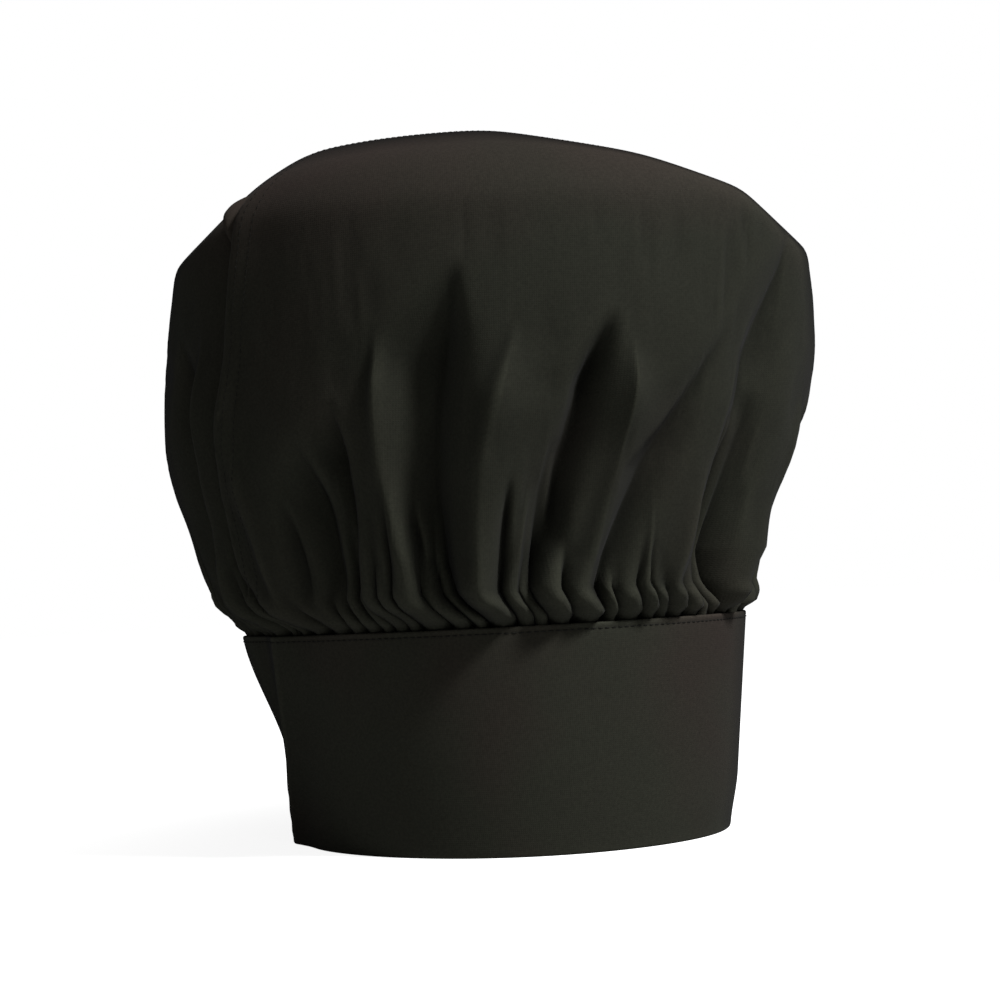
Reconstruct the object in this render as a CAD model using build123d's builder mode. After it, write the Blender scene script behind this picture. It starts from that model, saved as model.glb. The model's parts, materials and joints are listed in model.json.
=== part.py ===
"""A chef's toque: a gathered two-panel crown on a stiffened band, with a hook-and-loop tab behind.

Millimetres, +Z up. The origin is the centre of the head opening, in the plane of the lower rim.
The front of the hat faces -Y, and the wearer's right ear is towards -X.

The band is a stack of plies. Every ply follows one taper, from an oval rim to a round top edge, so
a ply is named by its inset: how far its outer face lies inside the outer face of the band. A
negative inset lies outside the band, where the closure is.
"""

from build123d import *
import math
import os

# Band
BAND_HEIGHT = 90.0
RIM_HALF_WIDTH = 88.0  # to the side, half the oval rim
RIM_HALF_LENGTH = 99.0  # to the front, half the oval rim
BAND_TOP_RADIUS = 103.0
CLOTH = 0.6  # one ply of poplin
GAP = 0.1  # air between neighbouring plies
HEM = 8.0  # height of the turned edges of the outer panel
INTERLINING = 0.8
SWEATBAND = 1.2
SWEATBAND_LOW = 10.0
SWEATBAND_HIGH = 38.0
LINING_STOP = 1.0  # how far the interlining stops short of the crown's gathered edge
FACING_STOP = 2.0  # how far the facing stops short of the band's top edge

# Insets of the plies, from the outside in
INTERLINING_INSET = CLOTH + GAP
TOP_HEM_INSET = CLOTH + GAP
SKIRT_INSET = TOP_HEM_INSET + CLOTH + GAP
FACING_INSET = SKIRT_INSET + CLOTH + GAP
SWEATBAND_INSET = FACING_INSET + CLOTH + GAP

# Crown
CROWN_HEIGHT = 296.5  # from the rim's plane to the top of the crown
CROWN_WALL = CLOTH
SKIRT_DEPTH = 12.0  # how far the gathered edge reaches down inside the band
SEAM_ALLOWANCE = 9.0
OUTLINE_STEPS = 16  # points that carry an inset of the outline
SEAM_GAP = 0.1  # half the gap between the two panels
SEAM_LEAN = 11.5  # degrees the seam's plane leans forwards
SEAM_AT_BAND = 9.0  # how far behind the middle the seam starts, at the band
SEAM_ROW_OFFSETS = (-2.5, -7.0)  # the two rows of stitches, in front of the seam
SEAM_ROW_START = 0.03  # where the rows start, as a share of the outline from band to apex
SEAM_ROW_RUN = 0.8  # how much of the outline they follow
CROWN_PROFILE = [  # radius and height of the crown's outline, from the band to the apex
    (BAND_TOP_RADIUS - SKIRT_INSET, BAND_HEIGHT),
    (112.0, 100.0),
    (127.0, 136.0),
    (138.0, 170.0),
    (141.0, 206.0),
    (138.5, 240.0),
    (126.0, 262.0),
    (100.0, 279.0),
    (68.0, 289.5),
    (30.0, 295.0),
    (0.0, CROWN_HEIGHT),
]

# Closure behind: plies stand outside the band, so their insets are negative
TAPE = 1.0  # thickness of hook tape and of loop tape
TAPE_HEIGHT = 20.0
TAPE_CENTRES = (24.0, 66.0)  # heights of the lower and the upper pair of tapes
LOOP_ENDS = (-26.0, 52.0)  # across the back, to the right as seen from behind
HOOK_ENDS = (-14.0, 34.0)
TAB_ROOT = -40.0
TAB_TIP = 40.0
TAB_LOW = 3.0
TAB_HIGH = 87.0
TAB_CORNER = 8.0
ANCHOR_WIDTH = 10.0  # the sewn-down end of the tab
LOOP_OUTSET = GAP + TAPE
HOOK_OUTSET = LOOP_OUTSET + GAP + TAPE
TAB_FACING_OUTSET = HOOK_OUTSET + GAP + CLOTH
TAB_LINING_OUTSET = TAB_FACING_OUTSET + GAP + INTERLINING
TAB_OUTSET = TAB_LINING_OUTSET + GAP + CLOTH
ANCHOR_THICKNESS = 1.9
TAB_LINING_MARGIN = 1.0  # how far the tab's interlining stays inside its outline
REAR_CUT_FROM = 60.0  # where the cutters for the rear pieces start, in Y
REAR_CUT_DEPTH = 60.0

# Care label, hanging inside at the back
LABEL_WIDTH = 26.0
LABEL_LENGTH = 40.0
LABEL_THICKNESS = 0.3
LABEL_CORNER = 1.0
LABEL_ROOM = 2.3  # air between the facing and the flat label at its middle
LABEL_TOP = 84.0
LABEL_ANGLE = 118.0  # degrees round the band from +X
LABEL_INSET = FACING_INSET + CLOTH + LABEL_ROOM

# Thread
THREAD_RADIUS = 0.22
STITCH_PITCH = 3.4
STITCH_SHARE = 0.74  # of the pitch that shows as thread
THREAD_CLEARANCE = 0.04
SWEATBAND_THREAD_CLEARANCE = 0.02  # added inside the sweatband, where the ring curves the other way
SEAM_THREAD_CLEARANCE = 0.12  # the crown is rounder than the band, and the threads are straight
ROW_MARGIN = 2.0  # from a row of stitches to the edge it runs along
TOP_ROW_DEPTH = 2.5  # from the band's top edge to its row of stitches
ANCHOR_ROW_MARGIN = 2.5
TAB_ROW_MARGIN = 3.0  # at the tab's tip and long edges


def band_radii(inset, z):
    """Half width and half length of a ply's oval at a height."""
    share = z / BAND_HEIGHT
    half_width = RIM_HALF_WIDTH + (BAND_TOP_RADIUS - RIM_HALF_WIDTH) * share
    half_length = RIM_HALF_LENGTH + (BAND_TOP_RADIUS - RIM_HALF_LENGTH) * share
    return half_width - inset, half_length - inset


def band_point(angle, z, inset):
    """A point on a ply's outer face, by its angle round the band in degrees."""
    half_width, half_length = band_radii(inset, z)
    turn = math.radians(angle)
    return Vector(half_width * math.cos(turn), half_length * math.sin(turn), z)


def rear_point(right, z, inset):
    """A point on a ply's outer face behind, by its distance to the right as seen from behind."""
    half_width, half_length = band_radii(inset, z)
    return Vector(-right, half_length * math.sqrt(1 - (right / half_width) ** 2), z)


def band_ply(inset, thickness, low, high):
    """One ply of the band: a tapered oval ring."""
    with BuildPart() as ply:
        for depth, mode in ((inset, Mode.ADD), (inset + thickness, Mode.SUBTRACT)):
            ovals = []
            for z in (low, high):
                half_width, half_length = band_radii(depth, z)
                with BuildSketch(Plane.XY.offset(z)) as oval:
                    Ellipse(half_length, half_width, rotation=90)
                ovals.append(oval.sketch.face())
            loft(ovals, ruled=True, mode=mode)
    return ply.part


def rear_patch(outset, thickness, ends, heights, corner=1.0):
    """A rounded patch of a ply that stands outside the band behind."""
    with BuildPart() as patch:
        add(band_ply(-outset, thickness, heights[0], heights[1]))
        centre = ((ends[0] + ends[1]) / 2, (heights[0] + heights[1]) / 2)
        behind = Plane(origin=(0, REAR_CUT_FROM, 0), x_dir=(-1, 0, 0), z_dir=(0, 1, 0))
        with BuildSketch(behind):
            with Locations(centre):
                RectangleRounded(ends[1] - ends[0], heights[1] - heights[0], corner)
        extrude(amount=REAR_CUT_DEPTH, mode=Mode.INTERSECT)
    return patch.part


def stitch_planes(path, length):
    """Planes for a row of stitches along path, a function of 0 to 1 whose length is given."""
    count = max(1, round(length / STITCH_PITCH))
    planes = []
    for index in range(count):
        start = path((index + (1 - STITCH_SHARE) / 2) / count)
        end = path((index + (1 + STITCH_SHARE) / 2) / count)
        planes.append(Plane(origin=(start + end) / 2, z_dir=end - start))
    return planes


def add_stitches(planes):
    """Adds one short thread at each plane to the part being built."""
    with Locations(*planes):
        Cylinder(THREAD_RADIUS, STITCH_PITCH * STITCH_SHARE)


def band_row(z, inset):
    """Stitches all round the band."""
    half_width, half_length = band_radii(inset, z)
    girth = 2 * math.pi * math.sqrt((half_width**2 + half_length**2) / 2)
    return stitch_planes(lambda share: band_point(360 * share, z, inset), girth)


def box_row(ends, heights, outset):
    """Stitches round a rectangle that stands outside the band behind."""
    corners = [
        (ends[0], heights[0]),
        (ends[1], heights[0]),
        (ends[1], heights[1]),
        (ends[0], heights[1]),
    ]
    planes = []
    for (x0, z0), (x1, z1) in zip(corners, corners[1:] + corners[:1]):
        planes += stitch_planes(
            lambda share: rear_point(x0 + (x1 - x0) * share, z0 + (z1 - z0) * share, -outset),
            math.hypot(x1 - x0, z1 - z0),
        )
    return planes


def thread_outset(outset):
    """How far out a thread's centre lies when it rests on a face at this outset."""
    return outset + THREAD_RADIUS + THREAD_CLEARANCE


def finish(part, name):
    """Labels a finished piece and writes it out."""
    part.label = name
    export_step(part, f"parts/{name}.step")


def tape_heights(centre):
    """Lower and upper edge of a tape."""
    return centre - TAPE_HEIGHT / 2, centre + TAPE_HEIGHT / 2


os.makedirs("parts", exist_ok=True)

# ---------------------------------------------------------------- crown
with BuildLine(Plane.XZ) as crown_line:
    Spline(*CROWN_PROFILE)
crown_edge = crown_line.edge()


def crown_inset(depth):
    """Points of the crown's outline moved inwards by depth, from the band to the apex."""
    points = []
    for index in range(OUTLINE_STEPS + 1):
        spot = crown_edge.position_at(index / OUTLINE_STEPS)
        run = crown_edge.tangent_at(index / OUTLINE_STEPS)
        points.append((max(0, spot.X - run.Z * depth), spot.Z + run.X * depth))
    return points


def crown_strip(outer_depth, inner_depth):
    """The strip between two insets of the crown's outline, as a sketch."""
    with BuildSketch() as strip:
        with BuildLine():
            outer = Spline(*crown_inset(outer_depth))
            inner = Spline(*crown_inset(inner_depth))
            Line(outer @ 0, inner @ 0)
            Line(outer @ 1, inner @ 1)
        make_face()
    return strip.sketch


def crown_layer(outer_depth, inner_depth):
    """The crown's wall between two depths, all round."""
    with BuildPart() as layer:
        with BuildSketch(Plane.XZ):
            add(crown_strip(outer_depth, inner_depth))
        revolve(axis=Axis.Z)
    return layer.part


def seam_slab(side, thickness):
    """A block that starts at the seam's plane and runs to one side of it."""
    seam_plane = Plane(
        origin=(0, SEAM_AT_BAND, BAND_HEIGHT),
        x_dir=(1, 0, 0),
        z_dir=(0, side * math.cos(math.radians(SEAM_LEAN)), side * math.sin(math.radians(SEAM_LEAN))),
    )
    with BuildPart() as slab:
        with BuildSketch(seam_plane.offset(SEAM_GAP)):
            Rectangle(4 * CROWN_HEIGHT, 4 * CROWN_HEIGHT)
        extrude(amount=thickness)
    return slab.part


def crown_panel(side):
    """The crown on one side of the seam: side is -1 for the front and 1 for the rear."""
    with BuildPart() as panel:
        add(crown_layer(0, CROWN_WALL))
        add(band_ply(SKIRT_INSET, CROWN_WALL, BAND_HEIGHT - SKIRT_DEPTH, BAND_HEIGHT + CLOTH))
        add(seam_slab(side, 2 * CROWN_HEIGHT), mode=Mode.INTERSECT)
    with BuildPart() as allowance:
        add(crown_layer(CROWN_WALL / 2, SEAM_ALLOWANCE))
        add(seam_slab(side, CLOTH), mode=Mode.INTERSECT)
    with BuildPart() as sewn_panel:
        add(panel.part)
        add(allowance.part)
    return sewn_panel.part


crown_front_panel = crown_panel(-1)
finish(crown_front_panel, "crown_front_panel")
crown_rear_panel = crown_panel(1)
finish(crown_rear_panel, "crown_rear_panel")


def seam_path(side, offset_from_seam):
    """A path up one side of the crown beside the seam, a thread's depth off the cloth."""
    lean = math.radians(SEAM_LEAN)

    def at(share):
        spot = crown_edge.position_at(SEAM_ROW_START + SEAM_ROW_RUN * share)
        run = crown_edge.tangent_at(SEAM_ROW_START + SEAM_ROW_RUN * share)
        lift = THREAD_RADIUS + SEAM_THREAD_CLEARANCE
        radius = spot.X + run.Z * lift
        height = spot.Z - run.X * lift
        y = SEAM_AT_BAND + (offset_from_seam - (height - BAND_HEIGHT) * math.sin(lean)) / math.cos(lean)
        return Vector(side * math.sqrt(radius**2 - y**2), y, height)

    return at


with BuildPart() as crown_seam_stitches:
    for side in (-1, 1):
        for row_offset in SEAM_ROW_OFFSETS:
            length = SEAM_ROW_RUN * crown_edge.length
            add_stitches(stitch_planes(seam_path(side, row_offset), length))
finish(crown_seam_stitches.part, "crown_seam_stitches")

# ---------------------------------------------------------------- band
with BuildPart() as band_outer_panel:
    add(band_ply(0, CLOTH, 0, BAND_HEIGHT))
    # the lower edge turns in under the other plies and up behind them
    add(band_ply(0, FACING_INSET + CLOTH, 0, CLOTH))
    add(band_ply(FACING_INSET, CLOTH, 0, HEM))
    # the top edge turns in and down, outside the gathered edge of the crown
    add(band_ply(0, TOP_HEM_INSET + CLOTH, BAND_HEIGHT - CLOTH, BAND_HEIGHT))
    add(band_ply(TOP_HEM_INSET, CLOTH, BAND_HEIGHT - HEM, BAND_HEIGHT))
finish(band_outer_panel.part, "band_outer_panel")

with BuildPart() as band_interlining:
    add(band_ply(INTERLINING_INSET, INTERLINING, CLOTH + GAP, BAND_HEIGHT - SKIRT_DEPTH - LINING_STOP))
finish(band_interlining.part, "band_interlining")

with BuildPart() as band_facing:
    add(band_ply(FACING_INSET, CLOTH, HEM + GAP, BAND_HEIGHT - FACING_STOP))
finish(band_facing.part, "band_facing")

with BuildPart() as sweatband:
    add(band_ply(SWEATBAND_INSET, SWEATBAND, SWEATBAND_LOW, SWEATBAND_HIGH))
finish(sweatband.part, "sweatband")

with BuildPart() as band_top_stitches:
    add_stitches(band_row(BAND_HEIGHT - TOP_ROW_DEPTH, -thread_outset(0)))
finish(band_top_stitches.part, "band_top_stitches")

with BuildPart() as sweatband_stitches:
    for row_height in (SWEATBAND_LOW + ROW_MARGIN, SWEATBAND_HIGH - ROW_MARGIN):
        inner_face = SWEATBAND_INSET + SWEATBAND
        add_stitches(band_row(row_height, thread_outset(inner_face) + SWEATBAND_THREAD_CLEARANCE))
finish(sweatband_stitches.part, "sweatband_stitches")

# ---------------------------------------------------------------- closure, on the band
for name, centre in zip(("lower", "upper"), TAPE_CENTRES):
    with BuildPart() as loop_tape:
        add(rear_patch(LOOP_OUTSET, TAPE, LOOP_ENDS, tape_heights(centre)))
    finish(loop_tape.part, f"loop_tape_{name}")

anchor_ends = (TAB_ROOT - ANCHOR_WIDTH, TAB_ROOT - GAP)
with BuildPart() as tab_anchor_strip:
    add(rear_patch(GAP + ANCHOR_THICKNESS, ANCHOR_THICKNESS, anchor_ends, (TAB_LOW, TAB_HIGH)))
finish(tab_anchor_strip.part, "tab_anchor_strip")

with BuildPart() as tab_anchor_stitches:
    for right in (anchor_ends[0] + ANCHOR_ROW_MARGIN, anchor_ends[1] - ANCHOR_ROW_MARGIN):
        low, high = TAB_LOW + ROW_MARGIN, TAB_HIGH - ROW_MARGIN
        row_outset = thread_outset(GAP + ANCHOR_THICKNESS)
        add_stitches(
            stitch_planes(
                lambda share: rear_point(right, low + (high - low) * share, -row_outset),
                high - low,
            )
        )
finish(tab_anchor_stitches.part, "tab_anchor_stitches")

# ---------------------------------------------------------------- closure, on the tab
tab_ends = (TAB_ROOT, TAB_TIP)
tab_heights = (TAB_LOW, TAB_HIGH)
with BuildPart() as tab_facing:
    add(rear_patch(TAB_FACING_OUTSET, CLOTH, tab_ends, tab_heights, TAB_CORNER))
finish(tab_facing.part, "tab_facing")

with BuildPart() as tab_interlining:
    add(
        rear_patch(
            TAB_LINING_OUTSET,
            INTERLINING,
            (TAB_ROOT + TAB_LINING_MARGIN, TAB_TIP - TAB_LINING_MARGIN),
            (TAB_LOW + TAB_LINING_MARGIN, TAB_HIGH - TAB_LINING_MARGIN),
            TAB_CORNER - TAB_LINING_MARGIN,
        )
    )
finish(tab_interlining.part, "tab_interlining")

with BuildPart() as tab_outer_panel:
    add(rear_patch(TAB_OUTSET, CLOTH, tab_ends, tab_heights, TAB_CORNER))
finish(tab_outer_panel.part, "tab_outer_panel")

for name, centre in zip(("lower", "upper"), TAPE_CENTRES):
    with BuildPart() as hook_tape:
        add(rear_patch(HOOK_OUTSET, TAPE, HOOK_ENDS, tape_heights(centre)))
    finish(hook_tape.part, f"hook_tape_{name}")

with BuildPart() as tab_edge_stitches:
    inner_ends = (TAB_ROOT + ROW_MARGIN, TAB_TIP - TAB_ROW_MARGIN)
    inner_heights = (TAB_LOW + TAB_ROW_MARGIN, TAB_HIGH - TAB_ROW_MARGIN)
    add_stitches(box_row(inner_ends, inner_heights, thread_outset(TAB_OUTSET)))
finish(tab_edge_stitches.part, "tab_edge_stitches")

with BuildPart() as hook_tape_stitches:
    for centre in TAPE_CENTRES:
        low, high = tape_heights(centre)
        box_ends = (HOOK_ENDS[0] + ROW_MARGIN, HOOK_ENDS[1] - ROW_MARGIN)
        add_stitches(box_row(box_ends, (low + ROW_MARGIN, high - ROW_MARGIN), thread_outset(TAB_OUTSET)))
finish(hook_tape_stitches.part, "hook_tape_stitches")

# ---------------------------------------------------------------- care label
label_top = band_point(LABEL_ANGLE, LABEL_TOP, LABEL_INSET)
label_down = band_point(LABEL_ANGLE, LABEL_TOP - LABEL_LENGTH, LABEL_INSET) - label_top
label_across = Vector(-math.sin(math.radians(LABEL_ANGLE)), math.cos(math.radians(LABEL_ANGLE)), 0)
label_plane = Plane(origin=label_top, x_dir=label_across, z_dir=label_across.cross(label_down))
with BuildPart() as care_label:
    with BuildSketch(label_plane):
        with Locations((0, LABEL_LENGTH / 2)):
            RectangleRounded(LABEL_WIDTH, LABEL_LENGTH, LABEL_CORNER)
    extrude(amount=LABEL_THICKNESS)
finish(care_label.part, "care_label")
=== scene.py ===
"""Blender looks for the chef's toque. Lengths below are in millimetres, angles in degrees.

Angles round the hat run from the front (-Y) towards +X, the wearer's left.
"""

import json
import math

import bmesh
import bpy
import numpy as np
from mathutils import Matrix, Vector


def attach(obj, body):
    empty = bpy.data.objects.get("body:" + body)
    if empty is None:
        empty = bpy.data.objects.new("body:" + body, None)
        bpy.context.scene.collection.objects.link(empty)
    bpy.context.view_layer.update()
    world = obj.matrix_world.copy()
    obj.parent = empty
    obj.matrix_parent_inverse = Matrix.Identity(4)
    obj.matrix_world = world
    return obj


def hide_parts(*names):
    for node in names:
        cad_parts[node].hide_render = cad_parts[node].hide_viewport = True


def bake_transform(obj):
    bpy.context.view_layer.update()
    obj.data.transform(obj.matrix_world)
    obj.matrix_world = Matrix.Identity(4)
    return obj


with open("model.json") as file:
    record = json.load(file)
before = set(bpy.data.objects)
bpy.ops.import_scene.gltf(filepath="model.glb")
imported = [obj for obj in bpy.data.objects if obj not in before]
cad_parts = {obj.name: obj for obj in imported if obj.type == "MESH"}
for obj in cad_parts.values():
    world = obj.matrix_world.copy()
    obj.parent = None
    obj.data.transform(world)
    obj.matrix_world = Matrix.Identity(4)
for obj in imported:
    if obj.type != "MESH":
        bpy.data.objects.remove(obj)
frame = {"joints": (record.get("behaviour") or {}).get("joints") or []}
joints = {joint["name"]: joint for joint in frame["joints"]}
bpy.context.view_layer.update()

MM = 0.001
RNG = np.random.default_rng(11)

# Camera, in metres, degrees and millimetres of lens
VIEW_AZIMUTH = -37.0  # where the camera stands, so that folds can be told from its side
CAMERA_DISTANCE = 0.95
CAMERA_HEIGHT = 0.108
CAMERA_AIM_HEIGHT = 0.143
CAMERA_AIM_RIGHT = 0.0015
CAMERA_ROLL = 3.0
CAMERA_LENS = 78.7

# Light
FLOOR_BOUNCE = 0.5  # how much of its light the floor gives back to the hat
AMBIENT = 0.08
LAMP_AIM_HEIGHT = 0.16

# Band, as in the CAD
BAND_HEIGHT = 90.0
RIM_HALF_WIDTH = 88.0
RIM_HALF_LENGTH = 99.0
BAND_TOP_RADIUS = 103.0
CLOTH = 0.6
GAP = 0.1
HEM = 8.0
TOP_HEM_INSET = CLOTH + GAP
SKIRT_INSET = TOP_HEM_INSET + CLOTH + GAP
FACING_INSET = SKIRT_INSET + CLOTH + GAP
BAND_COLUMNS = 480
CREASE_AT = VIEW_AZIMUTH - 60.0  # the flat-pack crease on the wearer's right

# Crown
CROWN_TOP = 297.7
CROWN_WAIST = 180.0
PLEATS = 72
PLEAT_STEPS = np.array([0.0, 0.05, 0.12, 0.22, 0.36, 0.5, 0.64, 0.78, 0.88, 0.95])  # in a pleat
ROW_STEP = 3.5
LOW_ROW_STEP = 2.0
LOW_ROWS_RUN = 50.0  # how far up the outline the finer rows go
GATHER_SWING = 6.3
FOLD_FOOT = 90.0  # height at which every long fold starts
HIDDEN_FROM, HIDDEN_TO = 70.0, 298.0  # where the folds are made up, from the camera's side
OUTLINE_SOFT = 1.3

# Seam. It stands 7 mm further forward than in the CAD, where it meets the band
SEAM_LEAN = 11.5
SEAM_AT_BAND = 2.0
SEAM_NORMAL = np.array([0, math.cos(math.radians(SEAM_LEAN)), math.sin(math.radians(SEAM_LEAN))])
SEAM_LIP = 2.6
SEAM_STEP = 8.0
SEAM_STEP_RUN = 19.0  # about how far behind the seam the step dies away
UNDER_STEPS = (-1.5, -4.0, -7.5)  # where the rear panel runs on beneath the front one
TUCK_LOW, TUCK_HIGH = 240.0, 270.0
ALLOWANCE_FROM = 135.0
SEAM_STITCHES_FROM = 99.0

# Sections beside the seam: distances behind its line and outwards from it
ROLL = [
    (1.0, -0.2),
    (1.9, -0.7),
    (2.5, -1.5),
    (2.6, -2.4),
    (2.1, -3.3),
    (1.0, -4.0),
    (-1.2, -4.3),
    (-4.5, -4.4),
]
TUCK_SECTION = [(2.5, -5.5), (4.5, -3.0), (7.0, -1.3), (9.0, -1.0), (10.5, -2.0), (11.0, -5.5)]
ALLOWANCE = [(-2.0, -6.4), (-5.0, -6.6), (-9.0, -7.2)]

# How the crown's cloth is let settle
RELAX_ROWS = 96
RELAX_COLUMNS = 288
RELAX_SHARE = 0.975  # how much of the outline the settling crown has
CLOTH_EXCESS = 0.12
CLOTH_MASS = 0.03
CLOTH_PRESSURE = 0.6
CLOTH_GRAVITY = 0.15
CLOTH_FRAMES = 22
CLOTH_CAP = 6.0
PIN_LEVELS = 50

# Cloth and thread
WAVE_TURN = 6.283  # the wave texture counts its bands in turns of a circle
STITCH_SIDES = 7
STITCH_RINGS = np.array(  # share of the stitch's length, share of its radius, lift
    [(0.0, 0.35, -0.30), (0.12, 0.85, -0.02), (0.5, 1.0, 0.10), (0.88, 0.85, -0.02), (1.0, 0.35, -0.30)]
)

# Closure behind, seen from behind: distances to the right, heights and outsets
TAB_ENDS = (-40.0, 40.0)
TAB_HEIGHTS = (3.0, 87.0)
TAPE_CENTRES = (24.0, 66.0)
TAPE_HALF = 10.0
LOOP_ENDS = (-26.0, 52.0)
HOOK_ENDS = (-14.0, 34.0)
HOOK_PITCH = 1.5
ANCHOR_ENDS = (-50.0, -40.1)
ANCHOR_ROWS = (("outer", -47.6), ("inner", -43.4))
TAB_THREAD_OUTSET = 4.58
ANCHOR_THREAD_OUTSET = 2.08

# Care label, as in the CAD
LABEL_WIDTH = 26.0
LABEL_LENGTH = 40.0
LABEL_TOP = 84.0
LABEL_ANGLE = 208.0
LABEL_ROOM = 2.3
LABEL_INSET = FACING_INSET + CLOTH + LABEL_ROOM
LABEL_THREADS = 49

# Radius and height of the crown's outline, from inside the band to the apex
CROWN_PROFILE = np.array(
    [
        (101.0, 80.0),
        (101.2, 86.0),
        (102.4, 90.0),
        (106.5, 94.5),
        (112.0, 100.0),
        (118.4, 116.0),
        (125.0, 136.0),
        (132.0, 155.0),
        (138.5, 175.0),
        (142.0, 200.0),
        (143.8, 222.0),
        (144.5, 240.0),
        (143.0, 256.0),
        (133.0, 270.0),
        (114.0, 281.0),
        (92.0, 288.0),
        (66.0, 293.8),
        (34.0, 297.0),
        (0.0, CROWN_TOP),
    ]
)

# The stiff cloth's outline from the camera's side: straight stretches between these corners
OUTLINE_CORNERS = [
    (-143, 190),
    (-141, 226),
    (-135, 251),
    (-98, 286),
    (-73, 300),
    (-50, 304),
    (4, 306),
    (71, 292),
    (114, 274),
    (142, 244),
    (143, 200),
]

# How far the bag flops to the camera's right, at each height
FLOP = [
    (80, 0),
    (92, -1.5),
    (104, -8),
    (125, -7.5),
    (150, -6.5),
    (176, -3.5),
    (200, -0.5),
    (240, 1.0),
    (262, 1.0),
    (285, -2),
    (300, -5),
]


# ------------------------------------------------------------------ helpers
def smooth(x):
    """A step from 0 to 1 with soft ends."""
    x = np.clip(x, 0.0, 1.0)
    return x * x * (3 - 2 * x)


def wrap(angle):
    """An angle in degrees brought between -180 and 180."""
    return (angle + 180.0) % 360.0 - 180.0


def direction(angle):
    """The outward direction at an angle round the hat."""
    turn = np.radians(angle)
    return np.stack([np.sin(turn), -np.cos(turn), np.zeros_like(turn)], -1)


def curve_through(points, count):
    """Evenly spaced points on a smooth curve through the given ones."""
    points = np.asarray(points, float)
    padded = np.vstack([2 * points[0] - points[1], points, 2 * points[-1] - points[-2]])
    fine = []
    for p0, p1, p2, p3 in zip(padded, padded[1:], padded[2:], padded[3:]):
        t = np.linspace(0, 1, 40, endpoint=False)[:, None]
        fine.append(
            0.5
            * (
                2 * p1
                + (p2 - p0) * t
                + (2 * p0 - 5 * p1 + 4 * p2 - p3) * t**2
                + (3 * p1 - p0 - 3 * p2 + p3) * t**3
            )
        )
    fine = np.vstack(fine + [points[-1:]])
    run = np.concatenate([[0], np.cumsum(np.linalg.norm(np.diff(fine, axis=0), axis=1))])
    even = np.linspace(0, run[-1], count) if isinstance(count, int) else np.asarray(count) * run[-1]
    return np.stack([np.interp(even, run, fine[:, k]) for k in range(fine.shape[1])], -1)


def make_object(name, points, faces, material, body, uvs=None, shade=True):
    """A mesh object from points in millimetres. uvs holds one pair per point."""
    mesh = bpy.data.meshes.new(name)
    mesh.from_pydata((np.asarray(points) * MM).tolist(), [], [list(map(int, f)) for f in faces])
    mesh.update()
    if uvs is not None:
        layer = mesh.uv_layers.new(name="cloth")
        index = np.zeros(len(mesh.loops), int)
        mesh.loops.foreach_get("vertex_index", index)
        layer.data.foreach_set("uv", np.asarray(uvs, np.float32)[index].ravel())
    if shade:
        mesh.shade_smooth()
    obj = bpy.data.objects.new(name, mesh)
    bpy.context.scene.collection.objects.link(obj)
    if material is not None:
        obj.data.materials.append(material)
    if body is not None:
        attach(obj, body)
    return obj


def grid_faces(rows, columns, closed_columns=False, closed_rows=False, start=0):
    """Quads of a grid stored row by row."""
    faces = []
    for i in range(rows if closed_rows else rows - 1):
        for j in range(columns if closed_columns else columns - 1):
            a, b = i, (i + 1) % rows
            c, d = j, (j + 1) % columns
            quad = (a * columns + c, a * columns + d, b * columns + d, b * columns + c)
            faces.append(tuple(start + corner for corner in quad))
    return faces


RIGHT = direction(np.array(VIEW_AZIMUTH + 90.0))  # the camera's right
BACK = -direction(np.array(VIEW_AZIMUTH))  # away from the camera


# ------------------------------------------------------------------ the band's shape
def band_radii(inset, z):
    """Half the width and half the length of the plain oval inside the band's face."""
    share = np.asarray(z, float) / BAND_HEIGHT
    half_width = RIM_HALF_WIDTH + (BAND_TOP_RADIUS - RIM_HALF_WIDTH) * share
    half_length = RIM_HALF_LENGTH + (BAND_TOP_RADIUS - RIM_HALF_LENGTH) * share
    return half_width - inset, half_length - inset


def band_bulge(angle, z):
    """How far the worn band stands out from the plain oval, in millimetres."""
    share = np.clip(np.asarray(z, float) / BAND_HEIGHT, 0, 1)
    off = wrap(angle - (CREASE_AT - 34.0))
    flare = 9.5 * smooth((share - 0.42) / 0.58) * np.exp(-((off / 30.0) ** 2))
    crease_line = CREASE_AT - 22.0 * (1 - share) ** 1.4
    off = wrap(angle - crease_line)
    ridge = 2.6 * np.exp(-np.abs(off / 2.6)) + 1.6 * np.exp(-((off / 9.0) ** 2))
    hollow = 3.6 * np.exp(-(((off + 10) / 6.5) ** 2)) + 0.9 * np.exp(-(((off - 9) / 6.0) ** 2))
    bow = 2.0 * smooth(share / 0.25) * np.exp(-((wrap(angle - VIEW_AZIMUTH - 88) / 34.0) ** 2))
    wave = 0.7 * np.sin(np.radians(3 * angle + 40)) * share + 0.4 * np.sin(np.radians(5 * angle - 60))
    rear = 1 - smooth((np.abs(wrap(angle - 180)) - 38) / 16)
    return (flare + ridge - hollow + bow + wave) * (1 - rear)


def band_point(angle, z, inset):
    """A point on a ply's outer face."""
    angle, z, inset = np.broadcast_arrays(
        np.asarray(angle, float), np.asarray(z, float), np.asarray(inset, float)
    )
    half_width, half_length = band_radii(inset, z)
    turn = np.radians(angle)
    bulge = band_bulge(angle, z)
    x = (half_width + bulge) * np.sin(turn)
    y = -(half_length + bulge) * np.cos(turn)
    return np.stack([x, y, z], -1)


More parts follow.
